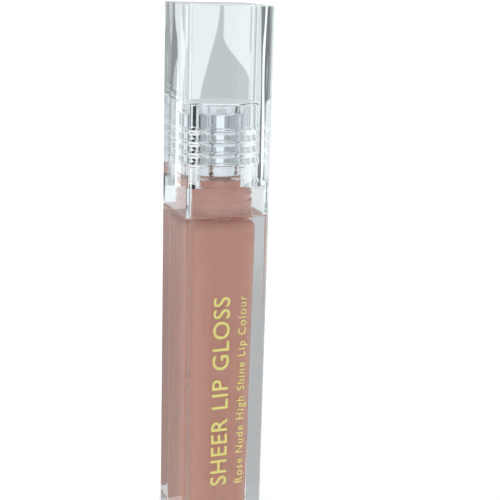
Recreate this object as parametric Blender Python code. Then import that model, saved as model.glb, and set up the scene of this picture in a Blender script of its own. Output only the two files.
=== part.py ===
"""A square clear lip gloss tube: thick-walled bottle, wiper, wand with a doe-foot tip, and a clear
block cap over a silver collar. The origin is the centre of the base, +Z runs up the tube, and the
printed front face is at -Y. The cap unscrews counter-clockwise seen from above, then lifts off
with the wand. Units are metres."""

import math

import bmesh
import bpy
from mathutils import Matrix, Vector

MM = 0.001
GAP = 0.3 * MM

# Driving dimensions
WIDTH = 18.0 * MM
HEIGHT = 117.0 * MM
SHOULDER_Z = 74.2 * MM
CORNER = 0.7 * MM
EDGE = 0.25 * MM
WALL_TOP = 1.9 * MM
WALL_BOTTOM = 2.5 * MM
BASE = 5.0 * MM
BASE_RIM = 0.5 * MM
PITCH = 2.5 * MM
OVERLAP = 1.0 * MM
SMOOTH_BELOW = math.radians(35)

# Bottle
CAVITY_CORNER = 4.0 * MM
CAVITY_FLOOR_EDGE = 2.0 * MM
CAVITY_TOP_EDGE = 2.0 * MM
CAVITY_TOP_Z = SHOULDER_Z - 1.2 * MM
PLINTH_R = 7.3 * MM
PLINTH_STEP_Z = SHOULDER_Z + 2.45 * MM
PLINTH_GROOVE_R = 7.0 * MM
PLINTH_GROOVE_Z = SHOULDER_Z + 3.0 * MM
PLINTH_RING_R = 7.25 * MM
PLINTH_RING_Z = SHOULDER_Z + 3.9 * MM
PLINTH_RING_ROUND = 1.0 * MM
SEAT_R = 6.7 * MM
SEAT_BOTTOM_Z = SHOULDER_Z + 5.4 * MM
SEAT_TOP_Z = SHOULDER_Z + 7.9 * MM
PLINTH_BORE_R = 5.2 * MM
PLINTH_BORE_TOP_Z = SEAT_TOP_Z - 0.7 * MM
WELL_OVERLAP = 4.0 * MM
NECK_R = 5.0 * MM
NECK_BORE_R = 3.9 * MM
NECK_TOP_Z = SHOULDER_Z + 14.8 * MM
THREAD_HEIGHT = 0.4 * MM
THREAD_WIDTH = 1.1 * MM
NECK_THREAD_Z = SHOULDER_Z + 8.9 * MM
NECK_THREAD_TURNS = 1.5
NECK_THREAD_ROOT = 0.3 * MM

# Contents
FILL_TOP_Z = PLINTH_BORE_TOP_Z - GAP
CHANNEL_R = 2.7 * MM
CHANNEL_FLOOR_Z = BASE + 1.6 * MM
WIPER_CHANNEL_R = 4.2 * MM
WIPER_CHANNEL_Z = SHOULDER_Z + 4.7 * MM

# Wiper
WIPER_FLANGE_R = 4.8 * MM
WIPER_SLEEVE_R = NECK_BORE_R - GAP
WIPER_WALL = 0.6 * MM
WIPER_LIP_R = 2.4 * MM
WIPER_FLANGE_Z = NECK_TOP_Z + GAP
WIPER_FLANGE_T = 0.8 * MM
WIPER_CONE_Z = SHOULDER_Z + 8.6 * MM
WIPER_LIP_Z = SHOULDER_Z + 5.0 * MM

# Sealing washer
LINER_Z = WIPER_FLANGE_Z + WIPER_FLANGE_T + GAP
LINER_T = 0.8 * MM
LINER_R = 4.7 * MM
LINER_BORE_R = 2.0 * MM

# Inner cap
INNER_CAP_R = 6.6 * MM
INNER_CAP_BORE_R = 6.1 * MM
INNER_CAP_BOTTOM_Z = SHOULDER_Z + 8.4 * MM
INNER_CAP_CEILING_Z = LINER_Z + LINER_T + GAP
INNER_CAP_WEB = 1.2 * MM
INNER_CAP_THREAD_TURNS = 1.0
INNER_CAP_THREAD_ROOT = 0.2 * MM
STEM_HOLE_R = 1.9 * MM
STEM_HEAD_POCKET_R = 3.2 * MM

# Wand
STEM_R = 1.6 * MM
STEM_HEAD_R = 2.9 * MM
STEM_HEAD_T = 1.0 * MM
TIP_BOTTOM_Z = BASE + 3.0 * MM
TIP_LENGTH = 14.0 * MM
TIP_R = 2.1 * MM
TIP_NECK_R = 1.45 * MM
TIP_PAD_PART = 0.5
TIP_NECK_PART = 0.72
TIP_CUT_PART = 0.45
TIP_CUT_DEPTH_PART = 0.9
TIP_CUT_SLOPE = 0.3

# Collar
COLLAR_R = 7.4 * MM
COLLAR_BORE_R = 6.9 * MM
COLLAR_BOTTOM_Z = SHOULDER_Z + 8.2 * MM
COLLAR_TOP_Z = SHOULDER_Z + 21.0 * MM
COLLAR_TOP_T = 0.7 * MM
COLLAR_TOP_EDGE = 0.4 * MM
COLLAR_RIM_ROUND = 6.0 * MM
COLLAR_RIM_HEIGHT = 1.7 * MM
COLLAR_RIM_TURN = 16
RING_COUNT = 4
RING_STEP = 2.35 * MM
RING_FIRST_Z = SHOULDER_Z + 10.75 * MM
RING_HEIGHT = 0.35 * MM
RING_WIDTH = 1.2 * MM

# Outer cap
CAP_BOTTOM_Z = SHOULDER_Z + GAP
CAP_BORE_R = 8.05 * MM
CAP_BORE_TOP_Z = SHOULDER_Z + 23.3 * MM
CAP_BORE_EDGE = 0.9 * MM
SKIRT_SIDE = 16.2 * MM
SKIRT_CORNER = 0.6 * MM
SKIRT_TOP_Z = SHOULDER_Z + 6.15 * MM

ROUND_STEPS = 56
THIN_STEPS = 28
THREAD_STEPS = 28


def clear_scene():
    for leftover in list(bpy.data.objects):
        bpy.data.objects.remove(leftover, do_unlink=True)


def material(name, colour, roughness, metallic=0.0, transmission=0.0):
    made = bpy.data.materials.new(name)
    made.use_nodes = True
    shader = made.node_tree.nodes["Principled BSDF"]
    shader.inputs["Base Color"].default_value = (*colour, 1.0)
    shader.inputs["Roughness"].default_value = roughness
    shader.inputs["Metallic"].default_value = metallic
    shader.inputs["Transmission Weight"].default_value = transmission
    made.diffuse_color = (*colour, 1.0 - 0.6 * transmission)
    return made


def place(name, bm, made_of=None):
    bmesh.ops.recalc_face_normals(bm, faces=bm.faces)
    mesh = bpy.data.meshes.new(name)
    bm.to_mesh(mesh)
    bm.free()
    mesh.shade_smooth()
    mesh.set_sharp_from_angle(angle=SMOOTH_BELOW)
    obj = bpy.data.objects.new(name, mesh)
    bpy.context.scene.collection.objects.link(obj)
    if made_of:
        mesh.materials.append(made_of)
    return obj


def as_helper(obj):
    obj.hide_render = True
    obj.display_type = "WIRE"
    return obj


def boolean(obj, helper, operation):
    step = obj.modifiers.new(helper.name, "BOOLEAN")
    step.operation = operation
    step.solver = "EXACT"
    step.object = as_helper(helper)


def rounded_square(side, corner, bottom_z, top_z, bottom_edge=0.0, top_edge=0.0, steps=4, bottom_side=None):
    """A square prism about the Z axis with round upright corners and rounded rims. A bottom_side of
    its own gives the draft of a moulding core."""
    bm = bmesh.new()
    bmesh.ops.create_cube(bm, size=1.0)
    bmesh.ops.scale(bm, vec=(side, side, top_z - bottom_z), verts=bm.verts)
    bmesh.ops.translate(bm, vec=(0, 0, (top_z + bottom_z) / 2), verts=bm.verts)
    if bottom_side:
        low = [v for v in bm.verts if v.co.z < (top_z + bottom_z) / 2]
        bmesh.ops.scale(bm, vec=(bottom_side / side, bottom_side / side, 1), verts=low)
    upright = [e for e in bm.edges if abs(e.verts[0].co.z - e.verts[1].co.z) > MM]
    bmesh.ops.bevel(bm, geom=upright, offset=corner, segments=steps, profile=0.5, affect="EDGES")
    for rim_z, width in ((bottom_z, bottom_edge), (top_z, top_edge)):
        if width:
            rim = [e for e in bm.edges if all(abs(v.co.z - rim_z) < 1e-7 for v in e.verts)]
            bmesh.ops.bevel(bm, geom=rim, offset=width, segments=3, profile=0.5, affect="EDGES")
    return bm


def turned(profile, steps=ROUND_STEPS):
    """The closed (radius, z) profile turned once about the Z axis."""
    bm = bmesh.new()
    points = [bm.verts.new((radius, 0, z)) for radius, z in profile]
    edges = [bm.edges.new((a, b)) for a, b in zip(points, points[1:] + points[:1])]
    bmesh.ops.spin(
        bm, geom=points + edges, axis=(0, 0, 1), cent=(0, 0, 0), angle=math.tau, steps=steps,
        use_merge=True,
    )
    bmesh.ops.remove_doubles(bm, verts=bm.verts, dist=1e-7)
    axis_edges = [e for e in bm.edges if not e.link_faces]
    bmesh.ops.delete(bm, geom=axis_edges, context="EDGES")
    return bm


def arc(centre_r, centre_z, radius, start_deg, end_deg, steps):
    """Points along an arc in the (radius, z) plane, both ends included."""
    angles = [math.radians(start_deg + (end_deg - start_deg) * i / steps) for i in range(steps + 1)]
    return [(centre_r + radius * math.cos(a), centre_z + radius * math.sin(a)) for a in angles]


def rod(radius, bottom_z, top_z, steps=ROUND_STEPS):
    return turned([(0, bottom_z), (radius, bottom_z), (radius, top_z), (0, top_z)], steps)


def thread(root_r, crest_r, start_z, turns):
    """A right-hand screw ridge from root to crest, fading out at both ends."""
    bm = bmesh.new()
    count = int(THREAD_STEPS * turns)
    rings = []
    for i in range(count + 1):
        angle = math.tau * i / THREAD_STEPS
        rise = start_z + PITCH * i / THREAD_STEPS
        fade = max(0.12, min(1.0, i / 4, (count - i) / 4))
        crest = root_r + (crest_r - root_r) * fade
        turn = Matrix.Rotation(angle, 4, "Z")
        section = (
            (root_r, -THREAD_WIDTH / 2),
            (crest, -THREAD_WIDTH / 5),
            (crest, THREAD_WIDTH / 5),
            (root_r, THREAD_WIDTH / 2),
        )
        rings.append([bm.verts.new(turn @ Vector((r, 0, rise + z))) for r, z in section])
    for ring, following in zip(rings, rings[1:]):
        for k in range(4):
            bm.faces.new((ring[k], ring[(k + 1) % 4], following[(k + 1) % 4], following[k]))
    bm.faces.new(rings[0])
    bm.faces.new(reversed(rings[-1]))
    return bm


def cavity_helpers(name, inset, bore_top_z):
    """The bottle's hollow: a rounded square well and the round bore above it, shrunk by inset."""
    well = rounded_square(
        WIDTH - 2 * (WALL_TOP + inset), CAVITY_CORNER - inset, BASE + inset, CAVITY_TOP_Z - inset,
        CAVITY_FLOOR_EDGE, CAVITY_TOP_EDGE, steps=6, bottom_side=WIDTH - 2 * (WALL_BOTTOM + inset),
    )
    bore = turned([
        (0, CAVITY_TOP_Z - WELL_OVERLAP),
        (PLINTH_BORE_R - inset, CAVITY_TOP_Z - WELL_OVERLAP),
        (PLINTH_BORE_R - inset, bore_top_z),
        (0, bore_top_z),
    ])
    return place(name + "_well", well), place(name + "_bore", bore)


def make_bottle():
    clear = material("clear_wall", (0.92, 0.94, 0.94), 0.03, transmission=1.0)
    body = rounded_square(WIDTH, CORNER, 0, SHOULDER_Z, BASE_RIM, EDGE)
    bottle = place("bottle", body, clear)
    plinth = [(0, SHOULDER_Z - OVERLAP), (PLINTH_R, SHOULDER_Z - OVERLAP), (PLINTH_R, PLINTH_STEP_Z)]
    plinth += [(PLINTH_GROOVE_R, PLINTH_GROOVE_Z)]
    plinth += arc(PLINTH_RING_R - PLINTH_RING_ROUND, PLINTH_RING_Z, PLINTH_RING_ROUND, -20, 80, 6)
    plinth += [(SEAT_R, SEAT_BOTTOM_Z), (SEAT_R, SEAT_TOP_Z - EDGE), (SEAT_R - EDGE, SEAT_TOP_Z)]
    plinth += [(0, SEAT_TOP_Z)]
    neck = [(0, SEAT_TOP_Z - OVERLAP), (NECK_R, SEAT_TOP_Z - OVERLAP)]
    neck += [(NECK_R, NECK_TOP_Z - EDGE), (NECK_R - EDGE, NECK_TOP_Z), (0, NECK_TOP_Z)]
    ridge = thread(NECK_R - NECK_THREAD_ROOT, NECK_R + THREAD_HEIGHT, NECK_THREAD_Z, NECK_THREAD_TURNS)
    boolean(bottle, place("bottle_plinth", turned(plinth)), "UNION")
    boolean(bottle, place("bottle_neck", turned(neck)), "UNION")
    boolean(bottle, place("bottle_thread", ridge), "UNION")
    for helper in cavity_helpers("bottle_cavity", 0, PLINTH_BORE_TOP_Z):
        boolean(bottle, helper, "DIFFERENCE")
    bore = rod(NECK_BORE_R, PLINTH_BORE_TOP_Z - OVERLAP, NECK_TOP_Z + OVERLAP)
    boolean(bottle, place("bottle_neck_bore", bore), "DIFFERENCE")


def make_gloss():
    pink = material("gloss_fill", (0.52, 0.28, 0.22), 0.25)
    well, bore = cavity_helpers("gloss_fill", GAP, FILL_TOP_Z)
    well.name = "gloss"
    well.data.materials.append(pink)
    boolean(well, bore, "UNION")
    channel = turned([
        (0, CHANNEL_FLOOR_Z),
        (CHANNEL_R, CHANNEL_FLOOR_Z),
        (CHANNEL_R, WIPER_CHANNEL_Z),
        (WIPER_CHANNEL_R, WIPER_CHANNEL_Z),
        (WIPER_CHANNEL_R, FILL_TOP_Z + OVERLAP),
        (0, FILL_TOP_Z + OVERLAP),
    ], THIN_STEPS)
    boolean(well, place("gloss_channel", channel), "DIFFERENCE")


def make_wiper():
    soft = material("soft_white", (0.85, 0.85, 0.83), 0.45)
    top = WIPER_FLANGE_Z + WIPER_FLANGE_T
    profile = [
        (WIPER_SLEEVE_R, WIPER_FLANGE_Z),
        (WIPER_SLEEVE_R, WIPER_CONE_Z),
        (WIPER_LIP_R + WIPER_WALL, WIPER_LIP_Z),
        (WIPER_LIP_R, WIPER_LIP_Z),
        (WIPER_SLEEVE_R - WIPER_WALL, WIPER_CONE_Z + 0.4 * MM),
        (WIPER_SLEEVE_R - WIPER_WALL, top - EDGE),
        (WIPER_SLEEVE_R - WIPER_WALL + EDGE, top),
        (WIPER_FLANGE_R, top),
        (WIPER_FLANGE_R, WIPER_FLANGE_Z),
    ]
    place("wiper", turned(profile), soft)


def make_liner():
    foam = material("liner_white", (0.8, 0.8, 0.78), 0.6)
    top = LINER_Z + LINER_T
    profile = [(LINER_BORE_R, LINER_Z), (LINER_R, LINER_Z), (LINER_R, top), (LINER_BORE_R, top)]
    place("cap_liner", turned(profile), foam)


def make_inner_cap():
    white = material("inner_white", (0.82, 0.82, 0.8), 0.35)
    web_top = INNER_CAP_CEILING_Z + INNER_CAP_WEB
    top = web_top + STEM_HEAD_T + 2 * GAP
    profile = [
        (INNER_CAP_BORE_R, INNER_CAP_BOTTOM_Z),
        (INNER_CAP_R, INNER_CAP_BOTTOM_Z),
        (INNER_CAP_R, top),
        (STEM_HEAD_POCKET_R, top),
        (STEM_HEAD_POCKET_R, web_top),
        (STEM_HOLE_R, web_top),
        (STEM_HOLE_R, INNER_CAP_CEILING_Z),
        (INNER_CAP_BORE_R, INNER_CAP_CEILING_Z),
    ]
    inner_cap = place("inner_cap", turned(profile), white)
    ridge = thread(
        INNER_CAP_BORE_R + INNER_CAP_THREAD_ROOT, NECK_R + THREAD_HEIGHT + GAP,
        INNER_CAP_BOTTOM_Z + THREAD_WIDTH, INNER_CAP_THREAD_TURNS,
    )
    boolean(inner_cap, place("inner_cap_thread", ridge), "UNION")


def make_stem():
    white = material("stem_white", (0.88, 0.88, 0.86), 0.3)
    head_z = INNER_CAP_CEILING_Z + INNER_CAP_WEB + GAP
    bottom = TIP_BOTTOM_Z + TIP_LENGTH + GAP
    profile = [
        (0, bottom),
        (STEM_R - EDGE, bottom),
        (STEM_R, bottom + EDGE),
        (STEM_R, head_z),
        (STEM_HEAD_R, head_z),
        (STEM_HEAD_R, head_z + STEM_HEAD_T),
        (0, head_z + STEM_HEAD_T),
    ]
    place("wand_stem", turned(profile, THIN_STEPS), white)


def make_tip():
    """A doe-foot: a narrow neck swelling to a round-ended pad that is cut off on a slant."""
    flock = material("flock_white", (0.8, 0.74, 0.7), 0.9)
    top = TIP_BOTTOM_Z + TIP_LENGTH
    profile = arc(0, TIP_BOTTOM_Z + TIP_R, TIP_R, -90, 0, 6)
    profile += [(TIP_R, TIP_BOTTOM_Z + TIP_PAD_PART * TIP_LENGTH)]
    profile += [(TIP_NECK_R, TIP_BOTTOM_Z + TIP_NECK_PART * TIP_LENGTH), (TIP_NECK_R, top), (0, top)]
    bm = turned(profile, THIN_STEPS)
    cut = bmesh.ops.bisect_plane(
        bm, geom=bm.verts[:] + bm.edges[:] + bm.faces[:], clear_outer=True,
        plane_co=(0, -TIP_CUT_DEPTH_PART * TIP_R, TIP_BOTTOM_Z + TIP_CUT_PART * TIP_LENGTH),
        plane_no=(0, -1, -TIP_CUT_SLOPE),
    )
    rim = [e for e in cut["geom_cut"] if isinstance(e, bmesh.types.BMEdge)]
    bmesh.ops.contextual_create(bm, geom=rim)
    place("applicator_tip", bm, flock)


def make_collar():
    """A closed-topped silver cup with four round beads, its lower rim rounded inwards."""
    silver = material("silver", (0.8, 0.81, 0.82), 0.08, metallic=1.0)
    rim_z = COLLAR_BOTTOM_Z + COLLAR_RIM_HEIGHT
    outer = arc(COLLAR_R - COLLAR_RIM_ROUND, rim_z, COLLAR_RIM_ROUND, -COLLAR_RIM_TURN, 0, 4)
    bead_radius = (RING_HEIGHT ** 2 + (RING_WIDTH / 2) ** 2) / (2 * RING_HEIGHT)
    half_angle = math.degrees(math.asin(RING_WIDTH / 2 / bead_radius))
    for i in range(RING_COUNT):
        ring_z = RING_FIRST_Z + i * RING_STEP
        outer += arc(COLLAR_R + RING_HEIGHT - bead_radius, ring_z, bead_radius, -half_angle, half_angle, 4)
    outer += arc(COLLAR_R - COLLAR_TOP_EDGE, COLLAR_TOP_Z - COLLAR_TOP_EDGE, COLLAR_TOP_EDGE, 0, 90, 3)
    ceiling = COLLAR_TOP_Z - COLLAR_TOP_T
    profile = outer + [(0, COLLAR_TOP_Z), (0, ceiling), (COLLAR_BORE_R, ceiling)]
    profile += [(COLLAR_BORE_R, COLLAR_BOTTOM_Z)]
    place("collar", turned(profile), silver)


def make_outer_cap():
    clear = material("clear_cap", (0.92, 0.94, 0.95), 0.03, transmission=1.0)
    block = rounded_square(WIDTH, CORNER, CAP_BOTTOM_Z, HEIGHT, EDGE, EDGE)
    outer_cap = place("outer_cap", block, clear)
    skirt = rounded_square(SKIRT_SIDE, SKIRT_CORNER, CAP_BOTTOM_Z - OVERLAP, SKIRT_TOP_Z)
    boolean(outer_cap, place("outer_cap_skirt", skirt), "DIFFERENCE")
    bore = [(0, SKIRT_TOP_Z - OVERLAP), (CAP_BORE_R, SKIRT_TOP_Z - OVERLAP)]
    bore += arc(CAP_BORE_R - CAP_BORE_EDGE, CAP_BORE_TOP_Z - CAP_BORE_EDGE, CAP_BORE_EDGE, 0, 90, 4)
    bore += [(0, CAP_BORE_TOP_Z)]
    boolean(outer_cap, place("outer_cap_bore", turned(bore)), "DIFFERENCE")


clear_scene()
make_bottle()
make_gloss()
make_wiper()
make_liner()
make_inner_cap()
make_stem()
make_tip()
make_collar()
make_outer_cap()
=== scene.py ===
import math

import bpy
from mathutils import Matrix, Vector


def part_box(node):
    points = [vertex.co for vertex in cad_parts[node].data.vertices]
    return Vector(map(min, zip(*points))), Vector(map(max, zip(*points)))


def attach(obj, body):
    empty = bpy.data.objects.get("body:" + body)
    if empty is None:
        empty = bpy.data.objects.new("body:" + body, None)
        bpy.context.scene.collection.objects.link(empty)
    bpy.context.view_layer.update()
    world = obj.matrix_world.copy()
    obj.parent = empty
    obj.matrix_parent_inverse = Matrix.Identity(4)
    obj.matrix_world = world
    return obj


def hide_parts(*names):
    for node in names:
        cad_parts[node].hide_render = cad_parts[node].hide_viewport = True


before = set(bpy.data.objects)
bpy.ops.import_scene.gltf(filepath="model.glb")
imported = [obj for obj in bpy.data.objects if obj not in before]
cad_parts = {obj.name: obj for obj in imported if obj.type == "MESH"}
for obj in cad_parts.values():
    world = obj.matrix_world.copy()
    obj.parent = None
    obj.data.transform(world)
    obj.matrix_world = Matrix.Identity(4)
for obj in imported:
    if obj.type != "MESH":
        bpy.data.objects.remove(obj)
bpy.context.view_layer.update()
mm = 0.001

# Heights and widths that several pieces share, all from the frame
capLow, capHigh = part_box("outer_cap")
collarLow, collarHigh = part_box("collar")
bottleLow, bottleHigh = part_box("bottle")
glossLow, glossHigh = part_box("gloss")
side = bottleHigh.x - bottleLow.x
shoulder = capLow.z - 0.3 * mm


# A Value wraps one socket and a Finish is one material.
class Value:
    def __init__(self, finish, socket):
        self.finish, self.socket = finish, socket

    def maths(self, operation, first, second=0.0):
        return self.finish.node("ShaderNodeMath", {"operation": operation}, {0: first, 1: second})

    def __add__(self, other):
        return self.maths("ADD", self, other)

    def __sub__(self, other):
        return self.maths("SUBTRACT", self, other)

    def __rsub__(self, other):
        return self.maths("SUBTRACT", other, self)

    def __mul__(self, other):
        return self.maths("MULTIPLY", self, other)

    def __truediv__(self, other):
        return self.maths("DIVIDE", self, other)

    def __pow__(self, other):
        return self.maths("POWER", self, other)

    __radd__, __rmul__ = __add__, __mul__


class Finish:
    def __init__(self, name, **constants):
        self.material = bpy.data.materials.new(name)
        self.material.use_nodes = True
        self.tree = self.material.node_tree
        self.shader = self.tree.nodes["Principled BSDF"]
        self.set(**{"Specular IOR Level": 0.5, **constants})

    def set(self, **sockets):
        for name, value in sockets.items():
            self.put(self.shader.inputs[name.replace("_", " ")], value)

    def put(self, socket, value):
        if isinstance(value, Value):
            self.tree.links.new(value.socket, socket)
        else:
            socket.default_value = value

    def node(self, kind, settings=None, sockets=None, output=0):
        made = self.tree.nodes.new(kind)
        for key, setting in (settings or {}).items():
            if key == "stops":
                self.setStops(made.color_ramp, setting)
            else:
                setattr(made, key, setting)
        for key, value in (sockets or {}).items():
            self.put(made.inputs[key], value)
        return Value(self, made.outputs[output])

    def setStops(self, ramp, stops):
        while len(ramp.elements) < len(stops):
            ramp.elements.new(0.5)
        for element, (place, level) in zip(ramp.elements, stops):
            element.position = place
            element.color = (level, level, level, 1)

    def place(self, scale=(1, 1, 1)):
        where = self.node("ShaderNodeTexCoord", output="Object")
        return self.node("ShaderNodeMapping", {"vector_type": "POINT"}, {"Vector": where, "Scale": scale})

    def ease(self, value, low, high):
        sockets = {"Value": value, "From Min": low, "From Max": high}
        return self.node("ShaderNodeMapRange", {"interpolation_type": "SMOOTHSTEP"}, sockets)

    def step(self, value, edge, blur):
        return self.ease(value - edge, -blur, blur)

    def noise(self, size, detail=3, stretch=(1, 1, 1)):
        sockets = {"Vector": self.place(stretch), "Scale": 1 / size, "Detail": detail, "Roughness": 0.55}
        return self.node("ShaderNodeTexNoise", None, sockets)

    def blend(self, mask, first, second):
        sockets = {0: mask, 6: (*first, 1), 7: (*second, 1)}
        return self.node("ShaderNodeMix", {"data_type": "RGBA"}, sockets, output=2)

    def bump(self, height, depth, strength=1.0):
        sockets = {"Height": height, "Distance": depth, "Strength": strength}
        self.set(Normal=self.node("ShaderNodeBump", None, sockets))


def startClean():
    if bpy.context.object and bpy.context.object.mode != "OBJECT":
        bpy.ops.object.mode_set(mode="OBJECT")
    bpy.ops.object.select_all(action="DESELECT")


def only(piece):
    startClean()
    piece.select_set(True)
    bpy.context.view_layer.objects.active = piece
    return piece


def applyModifier(piece, kind, **settings):
    only(piece)
    bpy.ops.object.modifier_add(type=kind)
    step = piece.modifiers[-1]
    for key, value in settings.items():
        setattr(step, key, value)
    bpy.ops.object.modifier_apply(modifier=step.name)


def selectEdges(piece, test):
    bpy.ops.mesh.select_all(action="DESELECT")
    bpy.ops.object.mode_set(mode="OBJECT")
    spots = [v.co for v in piece.data.vertices]
    for edge in piece.data.edges:
        edge.select = test(spots[edge.vertices[0]], spots[edge.vertices[1]])
    bpy.ops.object.mode_set(mode="EDIT")


def roundedBlock(name, width, corner, low, high, rims=(0, 0), corners=8, lowWidth=None):
    startClean()
    bpy.ops.mesh.primitive_cube_add(size=1, location=(0, 0, (low + high) / 2))
    block = bpy.context.object
    block.name = name
    bpy.ops.transform.resize(value=(width, width, high - low))
    bpy.ops.object.transform_apply(location=True, rotation=True, scale=True)
    bpy.ops.object.mode_set(mode="EDIT")
    bpy.ops.mesh.select_mode(type="EDGE")
    if lowWidth:
        selectEdges(block, lambda a, b: max(a.z, b.z) < (low + high) / 2)
        taper = lowWidth / width
        bpy.ops.transform.resize(value=(taper, taper, 1))
    selectEdges(block, lambda a, b: abs(a.z - b.z) > (high - low) / 2)
    bpy.ops.mesh.bevel(offset=corner, segments=corners, affect="EDGES")
    for level, rim in zip((low, high), rims):
        if rim:
            selectEdges(block, lambda a, b: abs(a.z - level) < 1e-6 and abs(b.z - level) < 1e-6)
            bpy.ops.mesh.bevel(offset=rim, segments=6 if rim > mm else 3, affect="EDGES")
    bpy.ops.object.mode_set(mode="OBJECT")
    return block


def arc(across, up, radius, start, end, steps=8):
    turns = [math.radians(start + (end - start) * i / steps) for i in range(steps + 1)]
    return [(across + radius * math.cos(t), up + radius * math.sin(t)) for t in turns]


def bulge(across, up, rise, width):
    radius = (rise ** 2 + (width / 2) ** 2) / (2 * rise)
    half = math.degrees(math.asin(width / 2 / radius))
    return arc(across + rise - radius, up, radius, -half, half)


def drawOutline(name, outline):
    startClean()
    bpy.ops.mesh.primitive_plane_add(size=mm, location=(0, 0, 0))
    drawn = bpy.context.object
    drawn.name = name
    bpy.ops.object.mode_set(mode="EDIT")
    bpy.ops.mesh.select_mode(type="VERT")
    bpy.ops.mesh.merge(type="CENTER")
    bpy.ops.transform.translate(value=(outline[0][0], 0, outline[0][1]))
    for here, there in zip(outline, outline[1:]):
        move = (there[0] - here[0], 0, there[1] - here[1])
        bpy.ops.mesh.extrude_region_move(TRANSFORM_OT_translate={"value": move})
    bpy.ops.mesh.select_all(action="SELECT")
    return drawn


def tidyShell():
    bpy.ops.mesh.select_all(action="SELECT")
    bpy.ops.mesh.remove_doubles(threshold=1e-6)
    bpy.ops.mesh.dissolve_degenerate(threshold=1e-7)
    bpy.ops.mesh.select_all(action="SELECT")
    bpy.ops.mesh.normals_make_consistent(inside=False)
    bpy.ops.object.mode_set(mode="OBJECT")


# An outline that starts and ends on the axis is open; any other comes back to its first point.
def turned(name, outline, steps=96):
    if outline[0][0] > 0:
        outline = outline + [outline[0]]
    shape = drawOutline(name, outline)
    bpy.ops.mesh.spin(steps=steps, angle=math.tau, center=(0, 0, 0), axis=(0, 0, 1))
    tidyShell()
    return shape


def screwRidge(name, root, crest, low, turns, pitch=2.5 * mm, foot=1.1 * mm):
    out = [(root, low), (crest, low + 0.3 * foot), (crest, low + 0.7 * foot), (root, low + foot)]
    ridge = drawOutline(name, out + [out[0]])
    bpy.ops.mesh.remove_doubles(threshold=1e-6)
    bpy.ops.object.mode_set(mode="OBJECT")
    steps = int(64 * turns)
    applyModifier(ridge, "SCREW", axis="Z", angle=math.tau * turns, screw_offset=pitch * turns,
                  steps=steps, render_steps=steps, use_merge_vertices=False)
    bpy.ops.object.mode_set(mode="EDIT")
    bpy.ops.mesh.select_all(action="DESELECT")
    bpy.ops.mesh.select_mode(type="EDGE")
    bpy.ops.mesh.select_non_manifold()
    bpy.ops.mesh.edge_face_add()
    bpy.ops.mesh.fill_holes(sides=0)
    tidyShell()
    return ridge


def combine(piece, other, operation):
    applyModifier(piece, "BOOLEAN", operation=operation, object=other, solver="EXACT")
    bpy.data.objects.remove(other, do_unlink=True)


def finishPiece(piece, body, node, finish, angle=32, weighted=True):
    only(piece)
    bpy.ops.object.shade_smooth_by_angle(angle=math.radians(angle))
    if weighted:
        applyModifier(piece, "WEIGHTED_NORMAL", keep_sharp=True, weight=60)
    piece.data.materials.clear()
    piece.data.materials.append(finish.material)
    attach(piece, body)
    if node:
        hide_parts(node)
    print("made", piece.name, len(piece.data.polygons), "faces")


def clearFinish(name, tint, ior, wave):
    clear = Finish(name, Transmission_Weight=1.0, IOR=ior)
    haze = clear.noise(6 * mm, 4)
    clear.set(Base_Color=clear.blend(haze, tint, [0.985 * c for c in tint]))
    clear.set(Roughness=0.012 * haze)
    clear.bump(clear.noise(9 * mm, 1, (1, 1, 0.35)), wave)
    return clear


def silverFinish():
    silver = Finish("brightSilver", Metallic=1.0)
    cloud = silver.noise(2.5 * mm, 4)
    silver.set(Base_Color=silver.blend(cloud, (0.86, 0.865, 0.875), (0.8, 0.805, 0.82)))
    silver.set(Roughness=0.03 + 0.05 * cloud)
    silver.bump(silver.noise(0.8 * mm, 2, (1, 1, 0.3)), 0.004 * mm)
    return silver


def glossFinish():
    gloss = Finish("roseGloss", IOR=1.45, Subsurface_Weight=0.4, Subsurface_Radius=(1, 0.45, 0.3),
                   Subsurface_Scale=1.6 * mm)
    swirl = gloss.noise(7 * mm, 4, (1, 1, 0.4))
    shade = gloss.blend(swirl, (0.96, 0.46, 0.345), (0.98, 0.5, 0.38))
    gloss.set(Base_Color=shade, Roughness=0.22 + 0.12 * swirl)
    # A faint glow in the plinth stands in for the light that the clear walls carry up to it.
    where = gloss.node("ShaderNodeTexCoord", output="Object")
    z = gloss.node("ShaderNodeSeparateXYZ", None, {0: where}, output="Z")
    carried = gloss.ease(z, shoulder - mm, shoulder + 2.5 * mm)
    gloss.set(Emission_Color=gloss.blend(carried, (0, 0, 0), (0.22, 0.1, 0.075)), Emission_Strength=1.0)
    gloss.bump(gloss.noise(5 * mm, 2), 0.03 * mm)
    return gloss


def mouldedFinish(name, colour, roughness, grain=0.35 * mm, depth=0.006 * mm):
    plain = Finish(name)
    cloud = plain.noise(4 * mm, 4)
    plain.set(Base_Color=plain.blend(cloud, colour, [0.94 * c for c in colour]))
    plain.set(Roughness=roughness + 0.08 * cloud)
    plain.bump(plain.noise(grain, 3), depth)
    return plain


def flockFinish():
    flock = Finish("flock", Sheen_Weight=0.6, Sheen_Roughness=0.4)
    fibres = flock.noise(0.12 * mm, 6, (1, 1, 0.3))
    stain = flock.noise(2.2 * mm, 3)
    flock.set(Base_Color=flock.blend(stain, (0.78, 0.5, 0.42), (0.62, 0.36, 0.29)), Roughness=0.75 + 0.2 * fibres)
    flock.bump(fibres, 0.08 * mm)
    return flock


def goldFinish():
    gold = Finish("goldInk", Metallic=0.25)
    speck = gold.noise(0.4 * mm, 4)
    gold.set(Base_Color=gold.blend(speck, (0.82, 0.74, 0.24), (0.72, 0.64, 0.19)), Roughness=0.3 + 0.2 * speck)
    gold.bump(speck, 0.004 * mm)
    return gold


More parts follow.
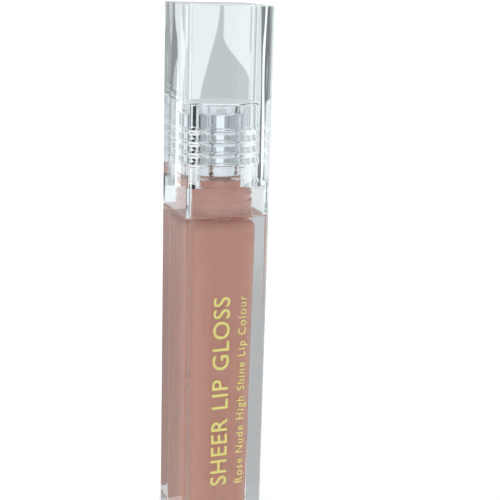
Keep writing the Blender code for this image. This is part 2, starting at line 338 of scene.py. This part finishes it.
clearBottle = clearFinish("clearBottle", (0.9, 0.925, 0.93), 1.56, 0.012 * mm)
clearCap = clearFinish("clearCap", (0.905, 0.93, 0.94), 1.49, 0.012 * mm)
silver = silverFinish()
roseGloss = glossFinish()
whiteMoulded = mouldedFinish("whiteMoulded", (0.83, 0.83, 0.81), 0.32)
softNatural = mouldedFinish("softNatural", (0.8, 0.8, 0.77), 0.42)
linerFoam = mouldedFinish("linerFoam", (0.84, 0.84, 0.82), 0.65, 0.12 * mm, 0.02 * mm)
flock = flockFinish()
goldInk = goldFinish()
print("finishes ready")


bottleLook = {"corner": 0.7 * mm, "rim": 0.3 * mm, "foot": 0.5 * mm, "wallTop": 1.9 * mm, "wallFoot": 2.5 * mm,
              "base": 5 * mm, "wellCorner": 4 * mm, "wellFloor": 2 * mm, "wellRim": 2 * mm, "lid": 1.2 * mm,
              "plinth": 7.8 * mm, "plinthStep": 2.45 * mm, "groove": 7.5 * mm, "grooveRise": 3 * mm, "ring": 7.75 * mm,
              "ringRise": 3.9 * mm, "ringRound": 1 * mm, "seat": 6.7 * mm, "seatLow": 5.4 * mm, "seatTop": 7.9 * mm,
              "plinthBore": 5.2 * mm, "seatLid": 0.7 * mm, "neck": 5 * mm, "neckBore": 3.9 * mm, "threadLow": 8.4 * mm}


def hollow(name, grow, top):
    look = bottleLook
    width = side - 2 * look["wallTop"] + 2 * grow
    lowWidth = side - 2 * look["wallFoot"] + 2 * grow
    well = roundedBlock(name, width, look["wellCorner"] + grow, look["base"] - grow,
                        shoulder - look["lid"] + grow, (look["wellFloor"], look["wellRim"]), 14, lowWidth)
    bore = turned(name + "Bore", [(0, shoulder - 5 * mm), (look["plinthBore"] + grow, shoulder - 5 * mm),
                                  (look["plinthBore"] + grow, top), (0, top)])
    combine(well, bore, "UNION")
    return well


def makeBottle():
    look = bottleLook
    bottle = roundedBlock("clear_bottle", side, look["corner"], 0, shoulder, (look["foot"], look["rim"]), 10)
    plinth, seat = look["plinth"], look["seat"]
    seatTop = shoulder + look["seatTop"]
    outline = [(0, shoulder - mm), (plinth, shoulder - mm)]
    outline += arc(plinth - 0.25 * mm, shoulder + look["plinthStep"], 0.25 * mm, 0, 70, 4)
    outline += [(look["groove"] - 0.05 * mm, shoulder + look["grooveRise"])]
    outline += arc(look["ring"] - look["ringRound"], shoulder + look["ringRise"], look["ringRound"], -35, 80, 14)
    outline += arc(seat - 0.3 * mm, shoulder + look["seatLow"] + 0.1 * mm, 0.3 * mm, -50, 0, 4)
    outline += arc(seat - 0.3 * mm, seatTop - 0.3 * mm, 0.3 * mm, 0, 90, 5)
    combine(bottle, turned("plinth", outline + [(0, seatTop)], 128), "UNION")
    top = bottleHigh.z
    neck = [(0, seatTop - mm), (look["neck"], seatTop - mm)]
    neck += arc(look["neck"] - 0.25 * mm, top - 0.25 * mm, 0.25 * mm, 0, 90, 3) + [(0, top)]
    combine(bottle, turned("neck", neck), "UNION")
    threadLow = shoulder + look["threadLow"]
    ridge = screwRidge("neckThread", look["neck"] - 0.3 * mm, look["neck"] + 0.4 * mm, threadLow, 1.5)
    combine(bottle, ridge, "UNION")
    lid = seatTop - look["seatLid"]
    combine(bottle, hollow("well", 0, lid), "DIFFERENCE")
    bore = [(0, lid - mm), (look["neckBore"], lid - mm), (look["neckBore"], top + mm), (0, top + mm)]
    combine(bottle, turned("neckBore", bore), "DIFFERENCE")
    finishPiece(bottle, "bottle", "bottle", clearBottle)


glossLook = {"channel": 2.5 * mm, "channelLow": 6.6 * mm, "wiperChannel": 4.2 * mm, "wiperRise": 4.7 * mm}


def makeGloss():
    look = glossLook
    top, step = glossHigh.z, shoulder + look["wiperRise"]
    gloss = hollow("rose_gloss", 0.02 * mm, top)
    channel = [(0, look["channelLow"]), (look["channel"], look["channelLow"]), (look["channel"], step)]
    channel += [(look["wiperChannel"], step), (look["wiperChannel"], top + mm), (0, top + mm)]
    combine(gloss, turned("channel", channel, 48), "DIFFERENCE")
    finishPiece(gloss, "bottle", "gloss", roseGloss)


makeBottle()
makeGloss()


collarLook = {"radius": 7.4 * mm, "wall": 0.5 * mm, "beads": 4, "beadStep": 2.35 * mm, "firstBead": 2.55 * mm,
              "beadRise": 0.35 * mm, "beadWidth": 1.2 * mm, "lowRound": 6 * mm, "lowTurn": 15, "lowRise": 1.65 * mm, "topRound": 0.4 * mm}

capLook = {"corner": 0.7 * mm, "rim": 0.25 * mm, "skirtWall": 0.9 * mm, "skirtCorner": 0.6 * mm,
           "boreGap": 0.3 * mm, "boreRise": 2.3 * mm, "boreRound": 0.9 * mm, "skirtRise": 6.15 * mm,
           "grooveDepth": 0.25 * mm, "grooveWidth": 1.6 * mm}


def makeOuterCap():
    look = capLook
    low = shoulder + 0.06 * mm
    cap = roundedBlock("clear_cap", side, look["corner"], low, capHigh.z, (look["rim"], look["rim"]), 10)
    step = shoulder + look["skirtRise"]
    skirt = roundedBlock("skirt", side - 2 * look["skirtWall"], look["skirtCorner"], low - 2 * mm, step, (0, 0), 10)
    combine(cap, skirt, "DIFFERENCE")
    radius, top, round_ = collarHigh.x + look["boreGap"], collarHigh.z + look["boreRise"], look["boreRound"]
    bore = [(0, step - mm), (radius, step - mm)]
    for i in range(collarLook["beads"]):
        middle = collarLow.z + collarLook["firstBead"] + i * collarLook["beadStep"]
        bore += bulge(radius, middle, look["grooveDepth"], look["grooveWidth"])
    bore += arc(radius - round_, top - round_, round_, 0, 90) + [(0, top)]
    combine(cap, turned("bore", bore, 160), "DIFFERENCE")
    finishPiece(cap, "cap", "outer_cap", clearCap)


def makeCollar():
    look = collarLook
    radius, low, top = look["radius"], collarLow.z, collarHigh.z
    outline = arc(radius - look["lowRound"], low + look["lowRise"], look["lowRound"], -look["lowTurn"], 0, 8)
    for i in range(look["beads"]):
        outline += bulge(radius, low + look["firstBead"] + i * look["beadStep"], look["beadRise"], look["beadWidth"])
    outline += arc(radius - look["topRound"], top - look["topRound"], look["topRound"], 0, 90, 6)
    ceiling = top - 0.7 * mm
    inside = radius - look["wall"]
    outline = [(0, top)] + outline[::-1] + [(inside, low), (inside, ceiling), (0, ceiling)]
    finishPiece(turned("silver_collar", outline, 160), "cap", "collar", silver, 40, False)


makeOuterCap()
makeCollar()


# These inner pieces show when the cap is off.
innerLook = {"gap": 0.3 * mm, "headRadius": 3.2 * mm, "web": 1.2 * mm, "holeRadius": 1.9 * mm, "boreRadius": 6.1 * mm}


def makeInnerCap():
    low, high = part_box("inner_cap")
    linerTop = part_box("cap_liner")[1].z
    look = innerLook
    ceiling = linerTop + look["gap"]
    web = ceiling + look["web"]
    outline = [(look["boreRadius"], low.z), (high.x - 0.2 * mm, low.z), (high.x, low.z + 0.2 * mm),
               (high.x, high.z - 0.2 * mm), (high.x - 0.2 * mm, high.z), (look["headRadius"], high.z),
               (look["headRadius"], web), (look["holeRadius"], web), (look["holeRadius"], ceiling),
               (look["boreRadius"], ceiling)]
    inner = turned("inner_plug", outline)
    ridge = screwRidge("plugThread", look["boreRadius"] + 0.2 * mm, 5.7 * mm, low.z + 0.6 * mm, 1.0)
    combine(inner, ridge, "UNION")
    finishPiece(inner, "cap", "inner_cap", whiteMoulded)


def makeWiper():
    low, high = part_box("wiper")
    sleeve, lip, wall = 3.6 * mm, 2.4 * mm, 0.6 * mm
    flange, cone = high.z - 0.8 * mm, low.z + 3.6 * mm
    outline = [(sleeve, flange), (sleeve, cone), (lip + wall, low.z + 0.1 * mm), (lip + wall - 0.1 * mm, low.z),
               (lip + 0.1 * mm, low.z), (lip, low.z + 0.15 * mm), (sleeve - wall, cone + 0.4 * mm)]
    outline += arc(sleeve - wall + 0.3 * mm, high.z - 0.3 * mm, 0.3 * mm, 180, 90, 4)
    outline += arc(high.x - 0.2 * mm, high.z - 0.2 * mm, 0.2 * mm, 90, 0, 4) + [(high.x, flange)]
    finishPiece(turned("neck_wiper", outline), "bottle", "wiper", softNatural)


def makeLiner():
    low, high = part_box("cap_liner")
    inside, soft = 2 * mm, 0.15 * mm
    outline = []
    for across, up, start in ((high.x - soft, low.z + soft, -90), (high.x - soft, high.z - soft, 0),
                              (inside + soft, high.z - soft, 90), (inside + soft, low.z + soft, 180)):
        outline += arc(across, up, soft, start, start + 90, 4)
    finishPiece(turned("seal_washer", outline), "liner", "cap_liner", linerFoam)


def makeStem():
    low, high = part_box("wand_stem")
    rod, head = 1.6 * mm, high.x
    under = high.z - mm
    outline = [(0, low.z), (rod - 0.25 * mm, low.z), (rod, low.z + 0.25 * mm), (rod, under - 0.2 * mm),
               (rod + 0.2 * mm, under), (head - 0.15 * mm, under), (head, under + 0.15 * mm),
               (head, high.z - 0.2 * mm), (head - 0.2 * mm, high.z), (0, high.z)]
    finishPiece(turned("wand_rod", outline, 64), "stem", "wand_stem", whiteMoulded)


def makeTip():
    low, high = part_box("applicator_tip")
    radius, length = high.x, high.z - low.z
    outline = arc(0, low.z + radius, radius, -90, 0, 12) + [(radius, low.z + 0.5 * length)]
    outline += arc(radius - 4 * mm, low.z + 0.5 * length, 4 * mm, 0, 33, 6)
    outline += [(1.45 * mm, low.z + 0.75 * length), (1.45 * mm, high.z - 0.1 * mm), (1.35 * mm, high.z), (0, high.z)]
    tip = turned("doe_foot_tip", outline, 64)
    bpy.ops.object.mode_set(mode="EDIT")
    bpy.ops.mesh.select_all(action="SELECT")
    bpy.ops.mesh.bisect(plane_co=(0, -0.9 * radius, low.z + 0.45 * length), plane_no=(0, -1, -0.3),
                        use_fill=True, clear_outer=True)
    bpy.ops.object.mode_set(mode="OBJECT")
    finishPiece(tip, "cap", "applicator_tip", flock, 45)


makeInnerCap()
makeWiper()
makeLiner()
makeStem()
makeTip()


printLook = {"low": 14.2 * mm, "length": 42.8 * mm, "thick": 0.02 * mm, "bold": 0.04 * mm}
printLines = (
    {"name": "print_title", "words": "SHEER LIP GLOSS", "baseline": 0.75 * mm, "height": 3.7 * mm},
    {"name": "print_shade", "words": "Rose Nude High Shine Lip Colour", "baseline": 4.45 * mm, "height": 1.75 * mm},
)


def makePrint(line):
    startClean()
    bpy.ops.object.text_add(location=(0, 0, 0))
    text = bpy.context.object
    text.name = line["name"]
    text.data.body = line["words"]
    text.data.size = line["height"] / 0.72
    text.data.extrude = printLook["thick"] / 2
    text.data.offset = printLook["bold"] * line["height"] / (3.7 * mm)
    text.data.resolution_u = 8
    bpy.context.view_layer.update()
    letters = len(line["words"]) - 1
    spare = printLook["length"] - text.dimensions.x
    text.data.space_character = 1 + spare / (letters * 0.6 * text.data.size)
    bpy.ops.object.convert(target="MESH")
    text.scale.x = printLook["length"] / text.dimensions.x
    bpy.ops.object.transform_apply(location=True, rotation=True, scale=True)
    front = bottleLow.y + 0.005 * mm
    text.matrix_world = Matrix(((0, -1, 0, line["baseline"]), (0, 0, -1, front), (1, 0, 0, printLook["low"]), (0, 0, 0, 1)))
    bpy.ops.object.transform_apply(location=True, rotation=True, scale=True)
    bpy.ops.object.mode_set(mode="EDIT")
    tidyShell()
    finishPiece(text, "bottle", None, goldInk, 30, False)


for printLine in printLines:
    makePrint(printLine)


def makeFloor():
    startClean()
    bpy.ops.mesh.primitive_circle_add(vertices=96, radius=6, fill_type="NGON", location=(0, 0, -0.02 * mm))
    floor = bpy.context.object
    floor.name = "floor"
    pale = Finish("paleFloor", Roughness=0.6)
    pale.set(Base_Color=pale.blend(pale.noise(80 * mm, 3), (0.9, 0.9, 0.9), (0.88, 0.88, 0.88)))
    pale.set(Emission_Color=(0.98, 0.99, 1, 1), Emission_Strength=0.3)
    floor.data.materials.append(pale.material)


# The tent's bands run by degrees to the left of the camera, as (edge, level): each holds up to the next edge.
tentLook = {"radius": 0.42, "height": 0.5, "cameraBearing": 18.65, "fade": 0.15, "colour": (0.93, 0.985, 1.0)}
tentBands = ((-180, 1.0), (-150, 0.65), (-125, 1.0), (-100, 0.1), (-96.5, 1.1), (-91, 0.6), (-40, 0.42), (-33, 0.6),
             (-15, 1.4), (28, 0.6), (76, 0.03), (101, 1.0), (141, 0.5), (145, 0.6), (150, 1.0), (180, 1.0))
# Fine bands that the cap's side walls mirror, as (edge, level)
wallBands = ((141, 0.4), (141.32, 0.14), (141.42, 1.3), (141.65, 0.2), (141.84, 0.85), (142.6, 0.85), (143.05, 2.4),
             (143.62, 0.12), (144.15, 0.6), (145, 0.6))
cardLook = {"level": 0.64, "highLevel": 0.72, "foot": 0.044, "top": 0.104}


def bandStops(bands, low, high, fade, most):
    stops = []
    last = bands[0][1]
    for edge, level in bands:
        place = (edge - low) / (high - low)
        stops += [(place, last / most), (place + fade / (high - low), level / most)]
        last = level
    return stops[1:-1]


def makeTent():
    startClean()
    look = tentLook
    bpy.ops.mesh.primitive_cylinder_add(vertices=128, radius=look["radius"], depth=look["height"], end_fill_type="NOTHING",
                                        location=(0, 0, look["height"] / 2))
    tent = bpy.context.object
    tent.name = "tent"
    bpy.ops.object.transform_apply(location=True, rotation=True, scale=True)
    glow = Finish("tentGlow")
    where = glow.node("ShaderNodeTexCoord", output="Object")
    x = glow.node("ShaderNodeSeparateXYZ", None, {0: where}, output="X")
    y = glow.node("ShaderNodeSeparateXYZ", None, {0: where}, output="Y")
    z = glow.node("ShaderNodeSeparateXYZ", None, {0: where}, output="Z")
    bearing = glow.node("ShaderNodeMath", {"operation": "ARCTAN2"}, {0: x, 1: 0 - y}) * (-360 / math.tau)
    left = glow.node("ShaderNodeMath", {"operation": "WRAP"}, {0: bearing - look["cameraBearing"], 1: 180, 2: -180})
    level = glow.node("ShaderNodeValToRGB", {"stops": bandStops(tentBands, -180, 180, look["fade"], 1.4)},
                      {0: left / 360 + 0.5}) * 1.4
    # A grey card with a curved edge stands at the back, behind the cap.
    across = glow.node("ShaderNodeMath", {"operation": "WRAP"}, {0: left - 180, 1: 180, 2: -180})
    rise = (z - cardLook["foot"]) / (cardLook["top"] - cardLook["foot"])
    card = glow.step(across, -1.65 + 1.45 * glow.ease(rise, 0, 1), 0.08)
    card = card * (1 - glow.step(across, 0.12 + 2.1 * (1 - glow.ease(rise, 0.3, 0.74)), 0.08))
    card = card + glow.step(across, 2.2, 0.1) * (1 - glow.step(across, 6, 0.1)) * glow.ease(rise, 0.55, 0.62)
    card = card * (1 - glow.ease(rise, 1.0, 1.02))
    high = glow.ease(z, 0.122, 0.126) * glow.step(across, -12, 1) * (1 - glow.step(across, 12, 1))
    strength = level * (1 - (1 - cardLook["level"]) * card) * (1 - (1 - cardLook["highLevel"]) * high)
    # The bands that the left wall mirrors sway a little with height.
    sway = (0.16 * glow.ease(rise, 0.1, 0.5) - 0.22 * glow.ease(rise, 0.55, 1)) * glow.step(left, 142.6, 0.1)
    fine = glow.node("ShaderNodeValToRGB", {"stops": bandStops(wallBands, 141, 145, 0.05, 2.4)},
                     {0: (left + sway - 141) / 4}) * 2.4
    inWall = glow.step(left, 141.02, 0.03) * (1 - glow.step(left, 144.95, 0.05))
    strength = strength + inWall * (fine - strength)
    light = glow.node("ShaderNodeEmission", None, {"Color": (*look["colour"], 1), "Strength": strength})
    glow.put(glow.tree.nodes["Material Output"].inputs["Surface"], light)
    tent.data.materials.append(glow.material)
    tent.visible_camera = False


# A grey flag close behind the tube, seen only in the clear walls and their reflections.
flagLook = {"width": 30 * mm, "height": 71 * mm, "across": -6 * mm, "back": 16 * mm, "level": 0.5, "topLevel": 0.62}


def makeFlag():
    startClean()
    look = flagLook
    bpy.ops.mesh.primitive_plane_add(size=1, location=(0, 0, 0))
    flag = bpy.context.object
    flag.name = "flag"
    flag.matrix_world = Matrix(((look["width"], 0, 0, look["across"]), (0, 0, -1, look["back"]),
                                (0, look["height"], 0, look["height"] / 2), (0, 0, 0, 1)))
    bpy.ops.object.transform_apply(location=True, rotation=True, scale=True)
    glow = Finish("flagGlow")
    where = glow.node("ShaderNodeTexCoord", output="Object")
    z = glow.node("ShaderNodeSeparateXYZ", None, {0: where}, output="Z")
    level = look["level"] + (look["topLevel"] - look["level"]) * glow.ease(z, 50 * mm, 66 * mm)
    light = glow.node("ShaderNodeEmission", None, {"Color": (0.95, 0.98, 1, 1), "Strength": level})
    glow.put(glow.tree.nodes["Material Output"].inputs["Surface"], light)
    flag.data.materials.append(glow.material)
    flag.visible_camera, flag.visible_diffuse, flag.visible_shadow = False, False, False


def makeWorld():
    world = bpy.data.worlds.new("studio")
    world.use_nodes = True
    back = world.node_tree.nodes["Background"]
    back.inputs["Color"].default_value = (0.98, 0.99, 1.0, 1)
    back.inputs["Strength"].default_value = 1.05
    bpy.context.scene.world = world


def makeCamera():
    look = {"place": Vector((-0.0740, -0.2193, 0.1231)), "aim": Vector((0.00727, -0.00273, 0.06533)), "roll": 1.615, "lens": 79.8}
    data = bpy.data.cameras.new("camera")
    camera = bpy.data.objects.new("camera", data)
    bpy.context.scene.collection.objects.link(camera)
    data.sensor_width, data.lens, data.clip_start = 36, look["lens"], 0.01
    turn = (look["aim"] - look["place"]).to_track_quat("-Z", "Y").to_matrix().to_4x4()
    camera.matrix_world = Matrix.Translation(look["place"]) @ turn @ Matrix.Rotation(math.radians(look["roll"]), 4, "Z")
    bpy.context.scene.camera = camera


makeFloor()
makeTent()
makeFlag()
makeWorld()
makeCamera()
scene = bpy.context.scene
scene.view_settings.view_transform = "Standard"
scene.cycles.max_bounces = 32
scene.cycles.transmission_bounces = 24
scene.cycles.glossy_bounces = 12
print("studio ready")
